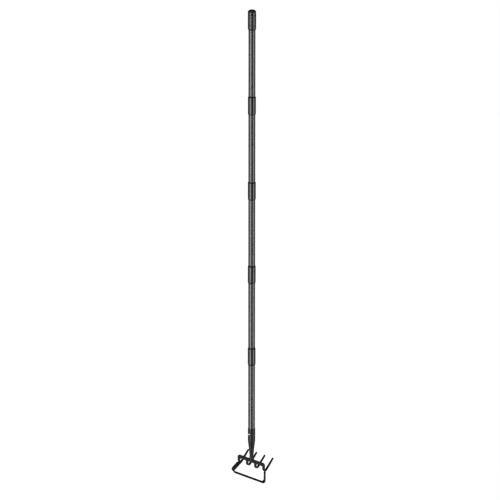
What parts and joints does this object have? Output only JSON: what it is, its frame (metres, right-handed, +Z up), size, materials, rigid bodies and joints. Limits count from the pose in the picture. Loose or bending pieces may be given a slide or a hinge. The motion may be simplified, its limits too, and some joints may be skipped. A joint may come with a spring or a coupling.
{
  "type": "stand-up weeder",
  "caption": "Long-handled stirrup weeder and cultivator comb on a pole of tubes that screw together.",
  "frame": {"origin": "middle of the hand grip, on the pole's axis", "axes": "+Z up the pole towards the end cap, +X along the blade, +Y towards the tine tips; the blade leans to -Y"},
  "size_m": [0.169, 0.0779, 1.8298],
  "materials": {
    "black_grip_plastic": "fine matt grain",
    "black_collar_plastic": "satin",
    "charcoal_tube_paint": "satin powder coat",
    "black_head_paint": "satin powder coat",
    "zinc_plate": "bright zinc",
    "black_rubber": "matt"
  },
  "bodies": {
    "top_section": {"end_cap": "black_grip_plastic", "hand_grip": "black_grip_plastic", "tube_1": "charcoal_tube_paint", "threaded_stud_1": "zinc_plate"},
    "washer_1": {"joint_washer_1": "black_rubber"},
    "section_2": {"joint_collar_1": "black_collar_plastic", "tube_2": "charcoal_tube_paint", "threaded_stud_2": "zinc_plate"},
    "washer_2": {"joint_washer_2": "black_rubber"},
    "section_3": {"joint_collar_2": "black_collar_plastic", "tube_3": "charcoal_tube_paint", "threaded_stud_3": "zinc_plate"},
    "washer_3": {"joint_washer_3": "black_rubber"},
    "section_4": {"joint_collar_3": "black_collar_plastic", "tube_4": "charcoal_tube_paint", "threaded_stud_4": "zinc_plate"},
    "washer_4": {"joint_washer_4": "black_rubber"},
    "head_section": {"joint_collar_4": "black_collar_plastic", "tube_5": "charcoal_tube_paint", "socket_plug": "black_collar_plastic", "socket_screw": "zinc_plate", "head_socket": "black_head_paint", "tine_comb": "black_head_paint", "stirrup_blade": "black_head_paint"}
  },
  "joints": [
    {"name": "joint_1_travel", "type": "slide", "parent": "top_section", "child": "washer_1", "axis": [0, 0, -1], "range_m": [0, 0.025]},
    {"name": "joint_1_unscrew", "type": "hinge", "parent": "washer_1", "child": "section_2", "pos_m": [0, 0, -0.2881], "axis": [0, 0, -1], "range_deg": [0, 3600]},
    {"name": "joint_2_travel", "type": "slide", "parent": "section_2", "child": "washer_2", "axis": [0, 0, -1], "range_m": [0, 0.025]},
    {"name": "joint_2_unscrew", "type": "hinge", "parent": "washer_2", "child": "section_3", "pos_m": [0, 0, -0.6141], "axis": [0, 0, -1], "range_deg": [0, 3600]},
    {"name": "joint_3_travel", "type": "slide", "parent": "section_3", "child": "washer_3", "axis": [0, 0, -1], "range_m": [0, 0.025]},
    {"name": "joint_3_unscrew", "type": "hinge", "parent": "washer_3", "child": "section_4", "pos_m": [0, 0, -0.9401], "axis": [0, 0, -1], "range_deg": [0, 3600]},
    {"name": "joint_4_travel", "type": "slide", "parent": "section_4", "child": "washer_4", "axis": [0, 0, -1], "range_m": [0, 0.025]},
    {"name": "joint_4_unscrew", "type": "hinge", "parent": "washer_4", "child": "head_section", "pos_m": [0, 0, -1.2661], "axis": [0, 0, -1], "range_deg": [0, 3600]}
  ],
  "couplings": [
    {"joint": "joint_1_unscrew", "follows": "joint_1_travel", "rad_per_m": 2513.3},
    {"joint": "joint_2_unscrew", "follows": "joint_2_travel", "rad_per_m": 2513.3},
    {"joint": "joint_3_unscrew", "follows": "joint_3_travel", "rad_per_m": 2513.3},
    {"joint": "joint_4_unscrew", "follows": "joint_4_travel", "rad_per_m": 2513.3}
  ]
}
